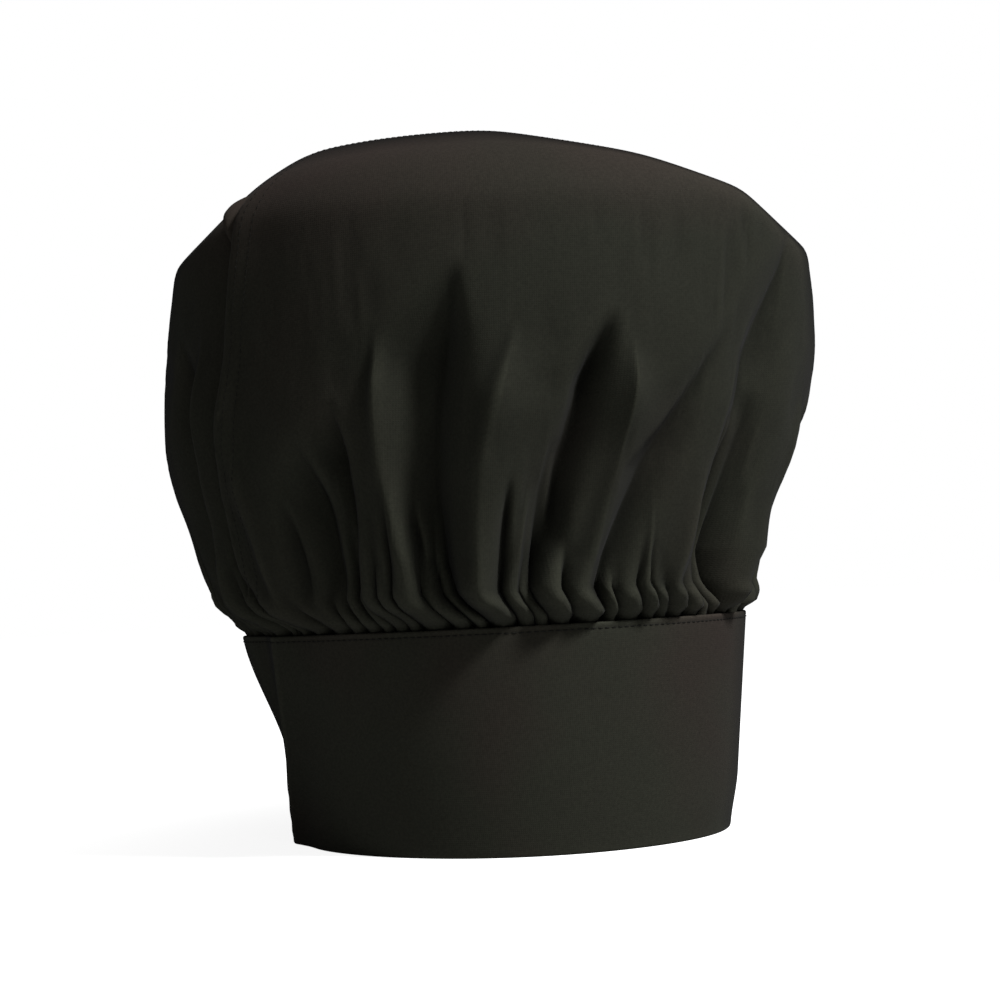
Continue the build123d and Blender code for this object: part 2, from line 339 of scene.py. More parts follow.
# ------------------------------------------------------------------ the crown's shape
def crown_rows():
    """Radius and height of each row, finely spaced above the band and wider higher up."""
    run = np.linalg.norm(np.diff(CROWN_PROFILE, axis=0), axis=1).sum()
    spots = [0.0]
    while spots[-1] < run - LOW_ROW_STEP:
        here = spots[-1]
        spots.append(here + (LOW_ROW_STEP if here < LOW_ROWS_RUN else ROW_STEP))
    shares = np.array(spots) / run
    shares = shares[shares < 0.985]
    return curve_through(CROWN_PROFILE, shares)


def soft_cut(points, normal, reach, soft):
    """Flattens the shape where it passes a plane, with a rounded edge."""
    normal = np.asarray(normal, float)
    normal = normal / np.linalg.norm(normal)
    over = points @ normal - reach
    excess = soft * np.logaddexp(0, over / soft)
    return points - excess[..., None] * normal


def fold_line(foot, top, height, bow):
    """Centre line of a fold: from its foot to its upper end, bowed sideways in between.

    foot, top and bow are angles, counted from the camera's side. height is that of the upper end.
    """
    share = np.linspace(0, 1, 13)
    angle = foot + (top - foot) * share + bow * 4 * share * (1 - share)
    return np.stack([angle, FOLD_FOOT + (height - FOLD_FOOT) * share], axis=1)


# Each fold: foot, top, height and bow of its centre line, how deep it is, its half width to the
# left and to the right, and the height over which its upper end fades.
# A negative depth is a crest. Light comes from the right, so the steep side faces left.
SEEN_FOLDS = [
    # beside the seam on the wearer's right
    (-45, -47, 175, 1.5, -5, 3.5, 5, 40),
    (-39, -38, 150, 0, 6, 3.5, 4, 30),
    (-33, -32, 170, 0, 12, 9, 4.5, 30),
    # the broad arched hollow and the long crest to its right
    (-27, -25, 180, 0.5, 17, 14, 4, 24),
    (-11, -17, 205, -2.5, -8, 3, 7, 24),
    (-11, -14, 145, 1, 5, 3, 3, 22),
    # the three-cornered hollow below the first apex, and its right wall
    (-5, -4, 230, -4, 19, 13, 5.5, 42),
    (0, 5, 205, -2.5, -6.5, 3.5, 9, 30),
    # the short split in the middle
    (3, 5, 150, 0, 6.5, 3.5, 3, 20),
    (6, 9, 150, 0, -3, 2.5, 5, 24),
    # the hollow below the second apex, and the crest on its right
    (9, 20, 210, 1, 18, 11, 4, 30),
    (19, 23, 200, 2.5, -6, 3.5, 9, 24),
    # the long diagonal on the wearer's left, and the last crest
    (23, 43, 210, -1, 14, 10, 6, 60),
    (40, 49, 215, 0, -5.5, 5.5, 8, 60),
    (56, 60, 250, -5.5, 16, 12, 8, 60),
]


def hidden_folds():
    """Folds of the same kind round the rest of the crown."""
    folds = []
    angle = HIDDEN_FROM
    while angle < HIDDEN_TO:
        lean = RNG.uniform(-10, 10)
        top = RNG.uniform(150, 238)
        bend = RNG.uniform(-4, 4)
        line = (angle, angle + lean, top, bend)
        widths = RNG.uniform(4.5, 8.5, 2)
        folds.append((*line, RNG.uniform(7, 13), *widths, RNG.uniform(16, 45)))
        if RNG.random() < 0.75:
            side = RNG.choice([-1, 1])
            beside = side * RNG.uniform(5.5, 8, 4).mean()
            ridge = (angle + beside, angle + lean + beside, top, bend)
            steep, gentle = RNG.uniform(3.5, 5), RNG.uniform(8, 13)
            sides = (steep, gentle) if side > 0 else (gentle, steep)
            folds.append((*ridge, -RNG.uniform(4, 7.5), *sides, RNG.uniform(20, 45)))
        angle += RNG.uniform(13, 22)
    return folds


def fold_depth(angle, z, radius, folds):
    """Total inward displacement of the folds at each point."""
    total = np.zeros_like(angle)
    rooted = 0.5 + 0.5 * smooth((z - 92) / 26)
    for foot, top, height, bow, depth, left, right, height_ramp in folds:
        line = fold_line(foot, top, height, bow)
        centre = np.interp(z, line[:, 1], line[:, 0]) + VIEW_AZIMUTH
        across = wrap(angle - centre) * np.radians(1) * radius
        below_tip = 0.3 + 0.7 * smooth((line[-1, 1] - z) / 55)
        spread = np.where(across < 0, left, right) * (1 + 0.8 * smooth((z - 112) / 60)) * below_tip
        along = smooth((line[-1, 1] - z) / height_ramp) * rooted
        sharp = 1.7 if depth > 0 else 1.3
        total += depth * along * np.exp(-np.abs(across / spread) ** sharp)
    return total


def pleat_table():
    """Random widths, depths and heights of the gathered pleats."""
    widths = RNG.uniform(0.55, 1.6, PLEATS)
    edges = np.concatenate([[0], np.cumsum(widths)]) / widths.sum() * 360.0
    heights = RNG.uniform(8, 19, PLEATS) + RNG.choice([0, 0, 0, 14], PLEATS)
    return edges, RNG.uniform(0.6, 1.35, PLEATS), heights


def gathers(angle, z, radius, table):
    """Outward and sideways displacement of the gathered edge: round lobes with narrow creases."""
    edges, depths, heights = table
    slant = 1.6 * np.sin(np.radians(7 * angle + 30)) + 1.2 * np.sin(np.radians(17 * angle + 100))
    turn = (angle + slant * np.clip((z - 91) / 16, 0, 1.6) + 720.0) % 360.0
    index = np.clip(np.searchsorted(edges, turn, side="right") - 1, 0, PLEATS - 1)
    share = (turn - edges[index]) / (edges[index + 1] - edges[index])
    phase = 2 * np.pi * share
    width = (edges[index + 1] - edges[index]) * np.radians(1) * radius

    def blended(values):
        nearer = np.where(share < 0.5, np.roll(values, 1)[index], np.roll(values, -1)[index])
        mix = 0.5 * (1 - np.abs(2 * share - 1))
        return values[index] * (0.5 + mix) + nearer * (0.5 - mix)

    depth, height = blended(depths), blended(heights)
    rise = np.clip((z - 88.0) / height, 0, None)
    envelope = np.exp(-(rise**1.6) * 0.7) * smooth((z - 83) / 6)
    lobe = (0.5 - 0.5 * np.cos(phase)) ** (1 - 0.55 * envelope)
    swing = GATHER_SWING * depth * envelope * np.clip(width / 8.5, 0.5, 1.25)
    out = swing * (2 * lobe - 1) - swing * (1 - smooth((z - 90) / 5))
    side = -0.17 * width * np.sin(phase) * np.clip(envelope * 1.25, 0, 1)
    return out, side


PLEAT_TABLE = pleat_table()
FOLDS = SEEN_FOLDS + hidden_folds()


def seam_distance(points):
    """Distance behind the plane of the seam."""
    level, rise = points[..., 1] - SEAM_AT_BAND, points[..., 2] - BAND_HEIGHT
    return level * SEAM_NORMAL[1] + rise * SEAM_NORMAL[2]


def sight_cut(points, start, end, soft):
    """Flattens the crown outside a straight stretch of its outline as seen from the camera.

    start and end are distances to the camera's right and heights, at the middle of the hat.
    """
    eye = -BACK * CAMERA_DISTANCE / MM + [0, 0, CAMERA_HEIGHT / MM]
    near, far = (RIGHT * across + [0, 0, up] for across, up in (start, end))
    normal = np.cross(far - near, eye - near)
    normal = normal / np.linalg.norm(normal)
    if (near - [0, 0, CROWN_WAIST]) @ normal < 0:
        normal = -normal
    return soft_cut(points, normal, near @ normal, soft)


def seam_relief(base, angle, height, under):
    """How far the cloth sinks behind the seam, and how far it stands out in front of it."""
    behind = seam_distance(base)
    on_right = smooth((np.sin(np.radians(angle - VIEW_AZIMUTH)) + 0.1) / 0.2)
    lower = (behind > 0.05) | under
    step = (1.0 + SEAM_STEP * smooth((height - 96) / 40)) * (1 - 0.5 * on_right)
    step = step * np.exp(-((np.maximum(behind, 0) / SEAM_STEP_RUN) ** 1.5)) * lower
    lip = SEAM_LIP * np.exp(-(np.abs(behind / 7.0) ** 1.5)) * ~lower * smooth((height - 92) / 30)
    return step, lip


def facets(points):
    """Flattens the stiff cloth into facets: sharp ones along the outline, softer ones behind."""
    for start, end in zip(OUTLINE_CORNERS, OUTLINE_CORNERS[1:]):
        points = sight_cut(points, start, end, OUTLINE_SOFT)
    for aim, up, reach, soft in (
        (-RIGHT + 0.9 * BACK, 1.0, 276.0, 9.0),
        (BACK - 0.2 * RIGHT, 1.2, 279.0, 9.0),
        (RIGHT + 0.9 * BACK, 0.3, 194.0, 6.0),
        (BACK, 0.1, 160.0, 6.0),
    ):
        normal = np.array([aim[0], aim[1], 0.0])
        normal = normal / np.linalg.norm(normal)
        normal[2] = up
        points = soft_cut(points, normal, reach, soft)
    return points


def crown_shape(base, under=False):
    """Takes points of the plain crown to the worn one, with its flops, folds, facets and gathers.

    Behind the seam the cloth lies deeper. Points taken as under lie there in front of it too.
    """
    base = np.asarray(base, float)
    radius = np.hypot(base[..., 0], base[..., 1])
    angle = np.degrees(np.arctan2(base[..., 0], -base[..., 1]))
    height = base[..., 2]
    out, side = gathers(angle, height, radius, PLEAT_TABLE)
    folds = fold_depth(angle, height, radius, FOLDS)
    step, lip = seam_relief(base, angle, height, under)
    room = smooth((height - 89) / 11)
    turn = angle + np.degrees(side / np.maximum(radius, 20.0)) * smooth((height - 83) / 6)
    r = radius - (folds + step - lip) * room + out
    free = direction(turn) * r[..., None]
    free = free + RIGHT * np.interp(height, *zip(*FLOP))[..., None]
    held = band_point(turn, np.minimum(height, BAND_HEIGHT), SKIRT_INSET + 0.05)
    held = held + direction(turn) * (out - 0.05)[..., None]
    points = held * (1 - room[..., None]) + free * room[..., None]
    points[..., 2] = height
    return facets(points)


def plain_crown():
    """The crown before it is folded, cut along the seam: its points, faces and the seam's edges."""
    rows = crown_rows()
    edges = PLEAT_TABLE[0]
    angle = (edges[:-1, None] + np.diff(edges)[:, None] * PLEAT_STEPS).ravel()
    columns = len(angle)
    angle, radius = np.meshgrid(angle, rows[:, 0])
    points = direction(angle) * radius[..., None]
    points[..., 2] = rows[:, 1][:, None]
    flat = np.vstack([points.reshape(-1, 3), [[0, 0, CROWN_TOP]]])
    faces = grid_faces(len(rows), columns, closed_columns=True)
    last = (len(rows) - 1) * columns
    faces += [(last + j, last + (j + 1) % columns, len(flat) - 1) for j in range(columns)]
    mesh = bpy.data.meshes.new("plain_crown")
    mesh.from_pydata(flat.tolist(), [], faces)
    sheet = bmesh.new()
    sheet.from_mesh(mesh)
    everything = sheet.verts[:] + sheet.edges[:] + sheet.faces[:]
    bmesh.ops.bisect_plane(
        sheet,
        geom=everything,
        dist=0.4,
        plane_co=(0, SEAM_AT_BAND, BAND_HEIGHT),
        plane_no=SEAM_NORMAL,
    )
    sheet.verts.index_update()
    base = np.array([v.co[:] for v in sheet.verts])
    off = seam_distance(base)
    near = np.abs(off) < 0.5
    base[near] -= off[near, None] * SEAM_NORMAL
    polygons = [[v.index for v in f.verts] for f in sheet.faces]
    sheet.free()
    bpy.data.meshes.remove(mesh)
    return base, polygons


# ------------------------------------------------------------------ materials
def shader(name):
    """A new material's tree and its main shader, and a way to add nodes to it."""
    material = bpy.data.materials.new(name)
    material.use_nodes = True
    nodes = material.node_tree.nodes
    links = material.node_tree.links
    main = nodes["Principled BSDF"]

    def add(kind, inputs=None, **settings):
        node = nodes.new(kind)
        for key, value in settings.items():
            setattr(node, key, value)
        for key, value in (inputs or {}).items():
            if isinstance(value, bpy.types.NodeSocket):
                links.new(value, node.inputs[key])
            else:
                node.inputs[key].default_value = value
        return node

    return material, main, add, links


def in_range(add, value, low, high, to_low=0.0, to_high=1.0, **settings):
    """A value taken from one range to another."""
    inputs = {"Value": value, "From Min": low, "From Max": high, "To Min": to_low, "To Max": to_high}
    return add("ShaderNodeMapRange", inputs, **settings).outputs[0]


def mixed(add, share, first, second, **settings):
    """Two colours, mixed or multiplied."""
    return add("ShaderNodeMix", {0: share, 6: first, 7: second}, data_type="RGBA", **settings).outputs[2]


def noise(add, place, scale, detail):
    """Soft noise over the object's own space."""
    inputs = {"Vector": place.outputs["Object"], "Scale": scale, "Detail": detail}
    return add("ShaderNodeTexNoise", inputs).outputs["Fac"]


def reckon(add, operation, *values, **settings):
    """The result of a sum or a product."""
    return add("ShaderNodeMath", dict(enumerate(values)), operation=operation, **settings).outputs[0]


def sheen_tinted(add, place, colour, sheen_colour, low, high, patches):
    """The colour turned towards a warm, lighter one in random patches and more so higher up, where it is a
    painted sheen of the top-lit cloth.
    """
    position = add("ShaderNodeNewGeometry").outputs["Position"]
    level = add("ShaderNodeSeparateXYZ", {"Vector": position}).outputs["Z"]
    ramp = in_range(add, level, low, high, interpolation_type="SMOOTHSTEP")
    spread = reckon(add, "ADD", noise(add, place, 12.0, 2.0), -0.5)
    push = reckon(add, "MULTIPLY_ADD", spread, patches, ramp, use_clamp=True)
    return mixed(add, push, colour, (*sheen_colour, 1))


def weave_of(add, thread):
    """The relief of a plain weave, from the thread's width in metres."""
    uv = add("ShaderNodeUVMap", uv_map="cloth").outputs["UV"]
    inputs = {"Vector": uv, "Scale": 1 / (thread * WAVE_TURN), "Distortion": 0.6, "Detail": 1.0}
    warp, weft = (
        add("ShaderNodeTexWave", inputs, bands_direction=axis).outputs["Fac"] for axis in ("X", "Y")
    )
    return reckon(add, "MULTIPLY", warp, weft)


def poplin(
    name, dark, light, sheen_colour=None, height_ramp=(0.215, 0.290), patches=1.5, weave_depth=0.12, thread=0.00042
):
    """Matt poplin: fine plain weave, slubs, painted shade in hollows and creases, lighter worn edges, a
    painted dark rim at grazing angles, and a warm, lighter tint in random patches and towards the top,
    there as a painted sheen.

    The fifth argument holds the heights in metres between which the painted warm sheen comes in.
    """
    material, main, add, links = shader(name)
    place = add("ShaderNodeTexCoord")
    colour = mixed(add, noise(add, place, 16.0, 4.0), (*dark, 1), (*light, 1))
    # a painted warm sheen towards the top, and warm random patches
    if sheen_colour is not None:
        colour = sheen_tinted(add, place, colour, sheen_colour, *height_ramp, patches)
    slub = in_range(add, noise(add, place, 900.0, 3.0), 0.3, 0.7, 0.86, 1.14)
    colour = mixed(add, 1.0, colour, slub, blend_type="MULTIPLY")
    # painted shade: the colour darkens to a dark rim where the surface turns away from the camera
    facing = add("ShaderNodeLayerWeight", {"Blend": 0.5}).outputs["Facing"]
    painted_rim_shade = in_range(add, facing, 0.66, 0.97, 1.0, 0.12)
    # painted shade in creases and hollows, where the pointiness is low; pointed edges made lighter as wear
    pointiness = add("ShaderNodeNewGeometry").outputs["Pointiness"]
    crease_shade_and_edge_wear = in_range(add, pointiness, 0.43, 0.56, 0.35, 1.55)
    colour = mixed(add, 1.0, colour, reckon(add, "MULTIPLY", painted_rim_shade, crease_shade_and_edge_wear), blend_type="MULTIPLY")
    links.new(colour, main.inputs["Base Color"])
    relief = reckon(add, "MULTIPLY_ADD", noise(add, place, 60.0, 5.0), 0.6, weave_of(add, thread))
    bump = add("ShaderNodeBump", {"Strength": weave_depth, "Distance": 0.0006, "Height": relief})
    links.new(bump.outputs[0], main.inputs["Normal"])
    main.inputs["Roughness"].default_value = 0.88
    main.inputs["Specular IOR Level"].default_value = 0.10
    main.inputs["Sheen Weight"].default_value = 0.02
    main.inputs["Sheen Roughness"].default_value = 0.5
    return material


def thread_material(name, colour):
    """Dull twisted thread."""
    material, main, add, links = shader(name)
    place = add("ShaderNodeTexCoord")
    twist = add("ShaderNodeTexWave", {"Vector": place.outputs["Object"], "Scale": 900.0, "Distortion": 2.0})
    tone = in_range(add, twist.outputs["Fac"], 0.0, 1.0, 0.7, 1.3)
    links.new(mixed(add, 1.0, (*colour, 1), tone, blend_type="MULTIPLY"), main.inputs["Base Color"])
    bump = add("ShaderNodeBump", {"Strength": 0.4, "Distance": 0.0002, "Height": twist.outputs["Fac"]})
    links.new(bump.outputs[0], main.inputs["Normal"])
    main.inputs["Roughness"].default_value = 0.7
    main.inputs["Specular IOR Level"].default_value = 0.15
    return material


OLIVE = (0.0168, 0.0174, 0.0124)
OLIVE_LIGHT = (0.0212, 0.0220, 0.0160)
BAND_OLIVE = (0.0205, 0.0211, 0.0153)
BAND_OLIVE_LIGHT = (0.0258, 0.0266, 0.0195)
# a warm, lighter tone: painted sheen of the top-lit cloth, and random patches
WARM_SHEEN = (0.0262, 0.0198, 0.0166)
CROWN_CLOTH = poplin("crown_poplin", OLIVE, OLIVE_LIGHT, WARM_SHEEN)
BAND_CLOTH = poplin("band_poplin", BAND_OLIVE, BAND_OLIVE_LIGHT, WARM_SHEEN, (-0.03, 0.3), 3.0)
THREAD = thread_material("black_thread", (0.0085, 0.0085, 0.0075))


# ------------------------------------------------------------------ crown
def cloth_uv(base):
    """Where a point lies in the flat cloth, in metres."""
    run = np.degrees(np.arctan2(base[:, 0], -base[:, 1]))
    around = np.radians(run) * 140.0
    on_top = smooth((base[:, 2] - 268) / 18)
    u = around * (1 - on_top) + base[:, 0] * on_top
    v = base[:, 2] * (1 - on_top) + (base[:, 1] + 400) * on_top
    return np.stack([u, v], -1) * MM


def seam_line(polygons):
    """The points of one panel's edge along the seam, in order."""
    behind = seam_distance(crown_base_points)
    count = {}
    for polygon in polygons:
        for i, j in zip(polygon, polygon[1:] + polygon[:1]):
            key = (min(i, j), max(i, j))
            count[key] = count.get(key, 0) + 1
    links = {}
    for (i, j), uses in count.items():
        if uses == 1 and abs(behind[i]) < 0.05 and abs(behind[j]) < 0.05:
            links.setdefault(i, []).append(j)
            links.setdefault(j, []).append(i)
    ends = [i for i, near in links.items() if len(near) == 1]
    start = min(ends, key=lambda i: crown_base_points[i][0])
    line, previous = [start], None
    while True:
        near = [k for k in links[line[-1]] if k != previous]
        if not near:
            return line
        previous = line[-1]
        line.append(near[0])


def relax_crown():
    """Lets the folded cloth settle: it has more width than room, so it buckles between its pins.

    The settling is worked out on a coarser crown. What is returned is how far its points moved.
    """
    shares = np.linspace(0, RELAX_SHARE, RELAX_ROWS)
    outline = curve_through(CROWN_PROFILE, shares)
    angle = np.linspace(0, 360, RELAX_COLUMNS, endpoint=False)
    angle, radius = np.meshgrid(angle, outline[:, 0])
    base = direction(angle) * radius[..., None]
    base[..., 2] = outline[:, 1][:, None]
    base = base.reshape(-1, 3)
    start = crown_shape(base)
    mesh = bpy.data.meshes.new("relaxing")
    mesh.from_pydata((start * MM).tolist(), [], grid_faces(RELAX_ROWS, RELAX_COLUMNS, True))
    obj = bpy.data.objects.new("relaxing", mesh)
    bpy.context.scene.collection.objects.link(obj)
    height = base[:, 2]
    spread = 1 + CLOTH_EXCESS * smooth((height - 92) / 25) * smooth((262 - height) / 60)
    rest = start * np.stack([spread, spread, np.ones_like(spread)], -1)
    obj.shape_key_add(name="Basis")
    key = obj.shape_key_add(name="rest")
    key.data.foreach_set("co", (rest * MM).astype(np.float32).ravel())
    key.value = 0.0
    pins = obj.vertex_groups.new(name="pins")
    hold = 1 - smooth((height - 92) / 8) + smooth((height - 235) / 45)
    hold = np.clip(hold, 0, 1)
    for level in range(1, PIN_LEVELS + 1):
        chosen = np.nonzero(np.round(hold * PIN_LEVELS) == level)[0]
        if len(chosen):
            pins.add([int(i) for i in chosen], level / PIN_LEVELS, "REPLACE")
    cloth = obj.modifiers.new("cloth", "CLOTH")
    settings = cloth.settings
    settings.quality = 5
    settings.mass = CLOTH_MASS
    settings.tension_stiffness = 15
    settings.compression_stiffness = 15
    settings.shear_stiffness = 5
    settings.bending_stiffness = 0.05
    settings.tension_damping = 3
    settings.compression_damping = 3
    settings.shear_damping = 3
    settings.bending_damping = 0.5
    settings.vertex_group_mass = "pins"
    settings.pin_stiffness = 1.0
    settings.rest_shape_key = key
    settings.use_pressure = True
    settings.uniform_pressure_force = CLOTH_PRESSURE
    settings.effector_weights.gravity = CLOTH_GRAVITY
    cloth.collision_settings.use_collision = False
    cloth.collision_settings.use_self_collision = False
    scene = bpy.context.scene
    scene.frame_start, scene.frame_end = 1, CLOTH_FRAMES
    cloth.point_cache.frame_start, cloth.point_cache.frame_end = 1, CLOTH_FRAMES
    for step in range(1, CLOTH_FRAMES + 1):
        scene.frame_set(step)
    settled = obj.evaluated_get(bpy.context.evaluated_depsgraph_get())
    moved = np.zeros(len(settled.data.vertices) * 3, np.float32)
    settled.data.vertices.foreach_get("co", moved)
    bpy.data.objects.remove(obj)
    bpy.data.meshes.remove(mesh)
    scene.frame_set(1)
    shift = moved.reshape(-1, 3) / MM - start
    far = np.linalg.norm(shift, axis=1, keepdims=True)
    shift = shift * np.minimum(1, CLOTH_CAP / np.maximum(far, 1e-6))
    return shift.reshape(RELAX_ROWS, RELAX_COLUMNS, 3)


FINE_OUTLINE = curve_through(CROWN_PROFILE, 2000)
FINE_SWING = np.arctan2(FINE_OUTLINE[:, 1] - CROWN_WAIST, FINE_OUTLINE[:, 0])
FINE_REACH = np.hypot(FINE_OUTLINE[:, 1] - CROWN_WAIST, FINE_OUTLINE[:, 0])


def on_crown(points):
    """The nearest points of the plain crown, seen from the middle of its waist."""
    radius = np.hypot(points[:, 0], points[:, 1])
    swing = np.arctan2(points[:, 2] - CROWN_WAIST, radius)
    reach = np.interp(swing, FINE_SWING, FINE_REACH)
    scale = reach * np.cos(swing) / np.maximum(radius, 1e-6)
    height = CROWN_WAIST + reach * np.sin(swing)
    return np.stack([points[:, 0] * scale, points[:, 1] * scale, height], -1)


def settle(points, base, shift):
    """Moves the fine crown's points the way the coarser crown settled."""
    spot = np.arctan2(base[:, 2] - CROWN_WAIST, np.hypot(base[:, 0], base[:, 1]))
    share = np.interp(spot, FINE_SWING, np.linspace(0, 1, len(FINE_SWING)))
    row = np.clip(share / RELAX_SHARE * (RELAX_ROWS - 1), 0, RELAX_ROWS - 1.001)
    column = (np.degrees(np.arctan2(base[:, 0], -base[:, 1])) % 360.0) / 360.0 * RELAX_COLUMNS
    i, j = row.astype(int), column.astype(int) % RELAX_COLUMNS
    a, b = (row - i)[:, None], (column - np.floor(column))[:, None]
    k = (j + 1) % RELAX_COLUMNS
    near = shift[i, j] * (1 - b) + shift[i, k] * b
    far = shift[i + 1, j] * (1 - b) + shift[i + 1, k] * b
    return points + near * (1 - a) + far * a


crown_base_points, crown_polygons = plain_crown()
crown_side = seam_distance(crown_base_points)
crown_shift = relax_crown()


def worn(base, under=False):
    """The worn crown's points for points of the plain one."""
    points = crown_shape(base, under)
    if crown_shift is not None:
        points = settle(points, base, crown_shift)
    return points


panels = {-1: [], 1: []}
for polygon in crown_polygons:
    middle = sum(crown_side[i] for i in polygon) / len(polygon)
    panels[-1 if middle < 0 else 1].append(polygon)


def panel_piece(name, polygons, points, edge_rows, edge_uv, flip):
    """One crown panel with the thickness of its cloth. edge_rows carry its edge on past the seam."""
    used = sorted({i for polygon in polygons for i in polygon})
    new_index = {old: new for new, old in enumerate(used)}
    faces = [[new_index[i] for i in polygon] for polygon in polygons]
    width = len(seam_order)
    starts = [len(used) + k * width for k in range(len(edge_rows))]
    rows = [[new_index[i] for i in seam_order]] + [list(range(at, at + width)) for at in starts]
    for first, second in zip(rows, rows[1:]):
        for j in range(width - 1):
            face = [first[j], first[j + 1], second[j + 1], second[j]]
            faces.append(face[::-1] if flip else face)
    points = np.vstack([points[used]] + edge_rows)
    uvs = np.vstack([cloth_uv(crown_base_points[used])] + edge_uv)
    obj = make_object(name, points, faces, CROWN_CLOTH, None, uvs)
    thicken = obj.modifiers.new("thickness", "SOLIDIFY")
    thicken.thickness = CLOTH * MM
    thicken.offset = -1
    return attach(obj, "hat")


# the front panel's turned edge rolls in over the rear panel, which runs on beneath it
seam_order = seam_line(panels[-1])
seam_base = crown_base_points[seam_order]


def beside_seam(distance, under=False):
    """The worn crown's points at a distance behind the seam's plane."""
    return worn(on_crown(seam_base + distance * SEAM_NORMAL), under)


seam_raw = worn(seam_base)
seam_run = np.concatenate([[0], np.cumsum(np.linalg.norm(np.diff(seam_raw, axis=0), axis=1))])
even_run = np.arange(0, seam_run[-1], 1.5)


def evenly(values, passes):
    """Values at even steps along the seam, smoothed by neighbour averages."""
    even = np.stack([np.interp(even_run, seam_run, values[:, k]) for k in range(values.shape[1])], -1)
    for _ in range(passes):
        even[1:-1] = 0.25 * even[:-2] + 0.5 * even[1:-1] + 0.25 * even[2:]
    return even


def at_seam_points(even):
    """Even values brought back to the seam's own points."""
    return np.stack([np.interp(seam_run, even_run, even[:, k]) for k in range(even.shape[1])], -1)


def unit(values):
    """Each row as a direction."""
    return values / np.maximum(np.linalg.norm(values, axis=1, keepdims=True), 1e-9)


def seam_frame(points, in_front):
    """Directions rearward and outward along a line beside the seam."""
    rearward = unit(evenly(points - in_front, 12))
    tangent = unit(np.gradient(evenly(points, 6), axis=0))
    outward = unit(np.cross(tangent, rearward))
    middle = evenly(points, 0) - np.array([0, 0, CROWN_WAIST])
    outward = outward * np.sign((outward * middle).sum(axis=1, keepdims=True))
    return rearward, unit(outward)


rearward, outward = seam_frame(seam_raw, beside_seam(-1.5))
seam_rear = at_seam_points(rearward)
seam_out = at_seam_points(outward)
roll_size = np.clip((seam_base[:, 2] - 94) / 34, 0.04, 1)[:, None]
roll_size = roll_size * (1 - 0.35 * (seam_base @ RIGHT > 0))[:, None]
roll_rows = [seam_raw + (seam_rear * along + seam_out * lift) * roll_size for along, lift in ROLL]
seam_uv = cloth_uv(seam_base)
front = panel_piece(
    "front_crown_cloth",
    panels[-1],
    worn(crown_base_points),
    roll_rows,
    [seam_uv + [0, along * MM] for along, _ in ROLL],
    False,
)
rear = panel_piece(
    "rear_crown_cloth",
    panels[1],
    worn(crown_base_points, under=True),
    [beside_seam(step, under=True) for step in UNDER_STEPS],
    [seam_uv + [0, step * MM] for step in UNDER_STEPS],
    True,
)
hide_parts("crown_front_panel")
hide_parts("crown_rear_panel")
seam_points = evenly(seam_raw, 1)
seam_even_uv = evenly(seam_uv, 0)

# a tuck of the allowance that has worked its way out beside the seam
on_left = seam_points @ RIGHT < 0
tucked = np.nonzero(on_left & (seam_points[:, 2] > TUCK_LOW) & (seam_points[:, 2] < TUCK_HIGH))[0]
if len(tucked):
    bulge = np.sin(np.pi * np.linspace(0, 1, len(tucked)))[:, None] ** 0.7
    spots, back_of, out_of = seam_points[tucked], rearward[tucked], outward[tucked]
    tuck_rows = [
        spots + back_of * (2.0 + (along - 2.0) * bulge) + out_of * (-4.4 + (lift + 4.4) * bulge)
        for along, lift in TUCK_SECTION
    ]
    tuck = make_object(
        "seam_tuck_cloth",
        np.vstack(tuck_rows),
        grid_faces(len(TUCK_SECTION), len(tucked)),
        CROWN_CLOTH,
        "hat",
        np.vstack([seam_even_uv[tucked] + [0, along * MM] for along, _ in TUCK_SECTION]),
    )
    tuck.modifiers.new("thickness", "SOLIDIFY").thickness = 0.35 * MM

# the rear panel's allowance, pressed forwards inside the crown
seam_keep = np.nonzero(seam_points[:, 2] > ALLOWANCE_FROM)[0]
allowance = make_object(
    "seam_allowance_cloth",
    np.vstack([(seam_points + rearward * along + outward * lift)[seam_keep] for along, lift in ALLOWANCE]),
    grid_faces(len(ALLOWANCE), len(seam_keep)),
    CROWN_CLOTH,
    None,
    np.vstack([(seam_even_uv + [0, along * MM])[seam_keep] for along, _ in ALLOWANCE]),
)
allowance.modifiers.new("thickness", "SOLIDIFY").thickness = 0.3 * MM
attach(allowance, "hat")


# ------------------------------------------------------------------ stitches
def stitches(name, points, outward, body, node=None, pitch=3.0, radius=0.2, share=0.78, material=None):
    """A row of short arched threads along evenly spaced points."""
    run = np.concatenate([[0], np.cumsum(np.linalg.norm(np.diff(points, axis=0), axis=1))])
    count = max(1, int(round(run[-1] / pitch)))

    def at(values, where):
        return np.stack([np.interp(where, run, values[:, k]) for k in range(3)], -1)

    step = run[-1] / count
    start = (np.arange(count) + (1 - share) / 2) * step
    a, b = at(points, start), at(points, start + step * share)
    up = at(outward, start + step / 2)
    up /= np.linalg.norm(up, axis=1, keepdims=True)
    along = (b - a) / np.linalg.norm(b - a, axis=1, keepdims=True)
    side = np.cross(along, up)
    side /= np.linalg.norm(side, axis=1, keepdims=True)
    turn = np.linspace(0, 2 * np.pi, STITCH_SIDES, endpoint=False)
    rings = []
    for t, size, lift in STITCH_RINGS:
        centre = a + (b - a) * t + up * lift
        ring = (
            centre[:, None]
            + radius * size * np.cos(turn)[None, :, None] * side[:, None]
            + radius * size * np.sin(turn)[None, :, None] * up[:, None]
        )
        rings.append(ring)
    mesh_points = np.stack(rings, 1)
    per = len(STITCH_RINGS) * STITCH_SIDES
    faces = []
    for k in range(count):
        faces += grid_faces(len(STITCH_RINGS), STITCH_SIDES, True, start=k * per)
        faces.append([k * per + i for i in range(STITCH_SIDES)])
        faces.append([k * per + per - 1 - i for i in range(STITCH_SIDES)])
    obj = make_object(name, mesh_points.reshape(-1, 3), faces, material or THREAD, body)
    if node:
        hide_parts(node)
    return obj


